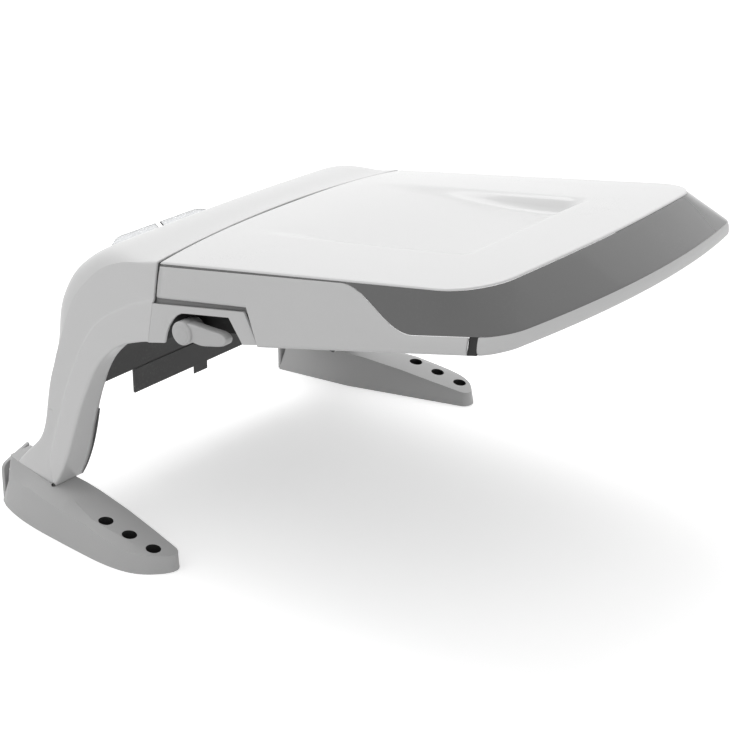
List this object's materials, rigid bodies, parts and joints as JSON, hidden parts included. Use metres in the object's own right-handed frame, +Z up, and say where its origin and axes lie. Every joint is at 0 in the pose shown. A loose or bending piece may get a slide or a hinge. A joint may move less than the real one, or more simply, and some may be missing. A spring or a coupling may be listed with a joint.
{
  "type": "robot mower garage with tilt-up hood",
  "caption": "Free-standing garage for a robot lawnmower: an arch on splayed feet carries a tilting hood with a dark visor and side release levers.",
  "frame": {"origin": "on the ground, in the middle of the overall length and width", "axes": "+Z up, the open mouth of the garage faces -Y, X = 0 is the mirror plane, so the near lever in the picture is on -X"},
  "size_m": [0.8468, 0.911, 0.5057],
  "materials": {
    "top_light": "smooth, light grey",
    "side_grey": "satin, mid grey",
    "foot_grey": "satin, darker grey",
    "inner_grey": "fine grain, dark grey",
    "recess_black": "matt black",
    "lever_grey": "satin, mid grey",
    "visor_dark": "glossy, dark grey",
    "clear_pale": "clear polycarbonate",
    "pin_steel": "drawn steel"
  },
  "bodies": {
    "frame": {"left_foot": "foot_grey", "right_foot": "foot_grey", "left_heel_ear": "foot_grey", "right_heel_ear": "foot_grey", "left_leg": "side_grey", "right_leg": "side_grey", "left_leg_inner_cover": "inner_grey", "right_leg_inner_cover": "inner_grey", "arch_top": "top_light", "rear_panel": "side_grey", "rear_apron": "inner_grey", "left_rear_deflector": "clear_pale", "right_rear_deflector": "clear_pale", "left_hinge_bracket": "inner_grey", "right_hinge_bracket": "inner_grey", "left_hinge_pin": "pin_steel", "right_hinge_pin": "pin_steel", "left_lever_bezel": "side_grey", "right_lever_bezel": "side_grey", "left_recess_cup": "recess_black", "right_recess_cup": "recess_black", "left_lever_pin": "pin_steel", "right_lever_pin": "pin_steel"},
    "hood": {"hood_top_panel": "top_light", "left_hood_side": "side_grey", "right_hood_side": "side_grey", "visor": "visor_dark", "front_lip": "side_grey", "left_corner_block": "recess_black", "right_corner_block": "recess_black", "hood_rear_rail": "inner_grey", "left_hinge_arm": "inner_grey", "right_hinge_arm": "inner_grey"},
    "left_lever": {"left_lever": "lever_grey"},
    "right_lever": {"right_lever": "lever_grey"}
  },
  "joints": [
    {"name": "hood_tilt", "type": "hinge", "parent": "frame", "child": "hood", "pos_m": [0, 0.2295, 0.4085], "axis": [-1, 0, 0], "range_deg": [0, 50]},
    {"name": "left_lever_turn", "type": "hinge", "parent": "frame", "child": "left_lever", "pos_m": [-0.2985, 0.1165, 0.335], "axis": [1, 0, 0], "range_deg": [0, 60]},
    {"name": "right_lever_turn", "type": "hinge", "parent": "frame", "child": "right_lever", "pos_m": [0.2985, 0.1165, 0.335], "axis": [1, 0, 0], "range_deg": [0, 60]}
  ]
}
